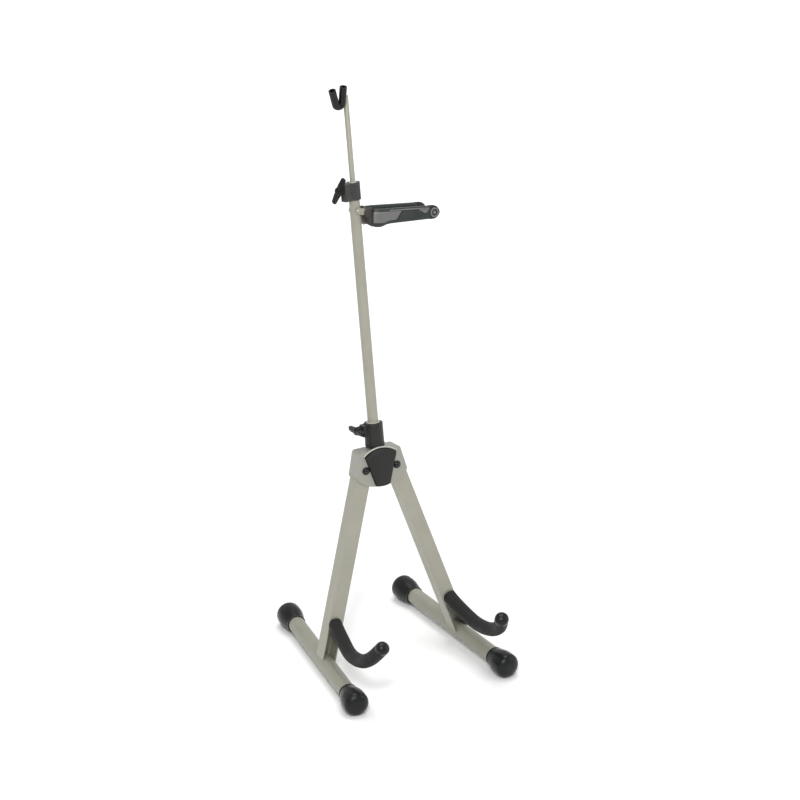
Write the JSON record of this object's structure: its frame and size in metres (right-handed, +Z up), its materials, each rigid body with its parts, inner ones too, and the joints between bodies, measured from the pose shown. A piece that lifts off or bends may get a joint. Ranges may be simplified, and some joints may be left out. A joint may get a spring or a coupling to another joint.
{
  "type": "instrument stand",
  "caption": "Folding A-frame floor stand: two padded hooks low down, a clamped height-adjustable mast with a neck yoke, and a bow hook on top.",
  "frame": {"origin": "centre of the stand's footprint on the floor, at the centre of the bounding box's base", "axes": "+Z up along the stand's height, -Y towards the hooks and the instrument, +X to the right leg"},
  "size_m": [0.289, 0.3444, 0.8704],
  "materials": {
    "satin_paint": "satin champagne grey powder paint",
    "zinc_steel": "zinc plated",
    "brass": "machined",
    "black_plastic": "fine moulded texture",
    "grey_plastic": "fine moulded texture",
    "light_grey_plastic": "satin moulded",
    "black_rubber": "semi gloss moulded",
    "black_foam": "closed cell foam skin",
    "nylon": "natural"
  },
  "bodies": {
    "head": {"head_front_shell": "satin_paint", "head_rear_plate": "satin_paint", "head_cover": "black_plastic", "pivot_bolt_left": "black_plastic", "pivot_bolt_right": "black_plastic", "pivot_spacer_left": "zinc_steel", "pivot_spacer_right": "zinc_steel", "pivot_nut_left": "zinc_steel", "pivot_nut_right": "zinc_steel", "lower_collar": "black_plastic", "lower_clamp_nut": "brass"},
    "left_leg": {"leg_channel_left": "satin_paint", "foot_tube_left": "satin_paint", "front_cap_left": "black_rubber", "rear_cap_left": "black_rubber", "hook_rod_left": "zinc_steel", "hook_sleeve_left": "black_foam", "hook_tip_left": "black_rubber"},
    "right_leg": {"leg_channel_right": "satin_paint", "foot_tube_right": "satin_paint", "front_cap_right": "black_rubber", "rear_cap_right": "black_rubber", "hook_rod_right": "zinc_steel", "hook_sleeve_right": "black_foam", "hook_tip_right": "black_rubber"},
    "mast_bush": {"mast_guide_bush": "nylon"},
    "mast": {"mast_tube": "satin_paint", "mast_end_plug": "black_plastic", "upper_collar": "black_plastic", "upper_clamp_nut": "brass", "yoke_rivet_left": "satin_paint", "yoke_rivet_right": "satin_paint"},
    "yoke": {"yoke_bracket": "satin_paint", "yoke_fork": "grey_plastic", "yoke_liner": "black_rubber", "yoke_screw_left": "zinc_steel", "yoke_screw_right": "zinc_steel", "yoke_trim_left": "light_grey_plastic", "yoke_trim_right": "light_grey_plastic", "yoke_plate_left": "black_plastic", "yoke_plate_right": "black_plastic", "yoke_tip_button_left": "light_grey_plastic", "yoke_tip_button_right": "light_grey_plastic"},
    "rod_bush": {"rod_guide_bush": "nylon"},
    "rod": {"rod": "satin_paint", "rod_end_guide": "nylon", "top_hook_wire": "zinc_steel", "top_hook_sleeve": "black_rubber"},
    "lower_wing": {"lower_wing_knob": "black_plastic", "lower_clamp_stud": "zinc_steel"},
    "upper_wing": {"upper_wing_knob": "black_plastic", "upper_clamp_stud": "zinc_steel"}
  },
  "joints": [
    {"name": "right_leg_fold", "type": "hinge", "parent": "head", "child": "right_leg", "pos_m": [0.0256, 0.04938, 0.30052], "axis": [0, 0.9845, -0.1754], "range_deg": [0, 16.5]},
    {"name": "left_leg_fold", "type": "hinge", "parent": "head", "child": "left_leg", "pos_m": [-0.0256, 0.04938, 0.30052], "axis": [0, -0.9845, 0.1754], "range_deg": [0, 16.5]},
    {"name": "mast_swivel", "type": "hinge", "parent": "head", "child": "mast_bush", "pos_m": [0, 0.06254, 0.35759], "axis": [0, 0.1754, 0.9845], "continuous": true},
    {"name": "mast_slide", "type": "slide", "parent": "mast_bush", "child": "mast", "axis": [0, 0.1754, 0.9845], "range_m": [-0.24, 0.03]},
    {"name": "yoke_fold", "type": "hinge", "parent": "mast", "child": "yoke", "pos_m": [0, 0.12083, 0.68484], "axis": [0.1513, -0.9732, 0.1733], "range_deg": [0, 45]},
    {"name": "rod_swivel", "type": "hinge", "parent": "mast", "child": "rod_bush", "pos_m": [0, 0.1269, 0.71891], "axis": [0, 0.1754, 0.9845], "continuous": true},
    {"name": "rod_slide", "type": "slide", "parent": "rod_bush", "child": "rod", "axis": [0, 0.1754, 0.9845], "range_m": [-0.085, 0.12]},
    {"name": "lower_wing_turn", "type": "hinge", "parent": "head", "child": "lower_wing", "pos_m": [-0.024, 0.06254, 0.35759], "axis": [-1, 0, 0], "continuous": true},
    {"name": "upper_wing_turn", "type": "hinge", "parent": "mast", "child": "upper_wing", "pos_m": [-0.02318, 0.12078, 0.72], "axis": [-0.9659, -0.2548, 0.0454], "continuous": true}
  ]
}
